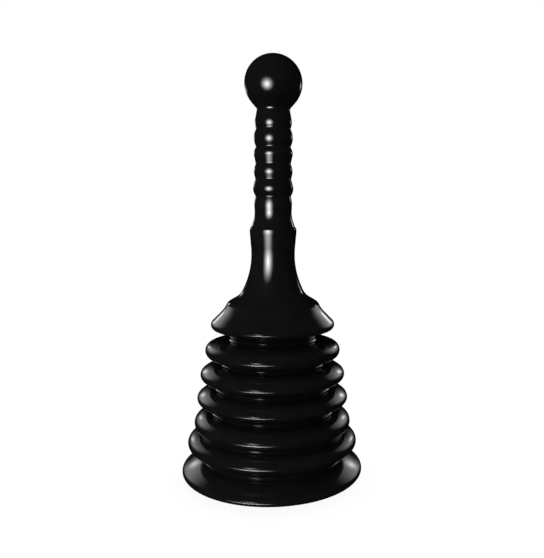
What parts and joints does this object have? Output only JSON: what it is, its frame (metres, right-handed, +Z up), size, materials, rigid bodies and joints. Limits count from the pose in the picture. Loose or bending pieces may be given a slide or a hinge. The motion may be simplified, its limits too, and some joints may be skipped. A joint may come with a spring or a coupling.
{
  "type": "sink plunger",
  "caption": "Sink plunger: a ball knob and ribbed grip on a waisted neck, over a wide accordion bellows cup with a soft sealing lip.",
  "frame": {"origin": "centre of the sealing lip's flat bottom face, where the plunger stands in the sink", "axes": "+Z up along the plunger's axis, from the open mouth to the ball knob; the part is round, so X and Y are free"},
  "size_m": [0.1276, 0.1276, 0.2974],
  "materials": {
    "handle_plastic": "glossy black, moulded",
    "bellows_plastic": "glossy black, flexible, moulded",
    "lip_rubber": "matt black, soft",
    "washer_rubber": "matt dark grey, cut from sheet",
    "brass": "turned",
    "steel": "zinc plated"
  },
  "bodies": {
    "foot": {"sealing_lip": "lip_rubber", "bellows": "bellows_plastic"},
    "handle": {"neck": "handle_plastic", "grip": "handle_plastic", "ball_knob": "handle_plastic", "knob_insert": "brass", "tie_rod": "steel", "seal_washer": "washer_rubber", "clamp_washer": "steel", "lock_nut": "steel"}
  },
  "joints": [
    {"name": "plunge", "type": "slide", "parent": "foot", "child": "handle", "axis": [0, 0, 1], "range_m": [-0.045, 0.01], "stiffness_N_per_m": 2500, "deforming": ["bellows"]}
  ]
}
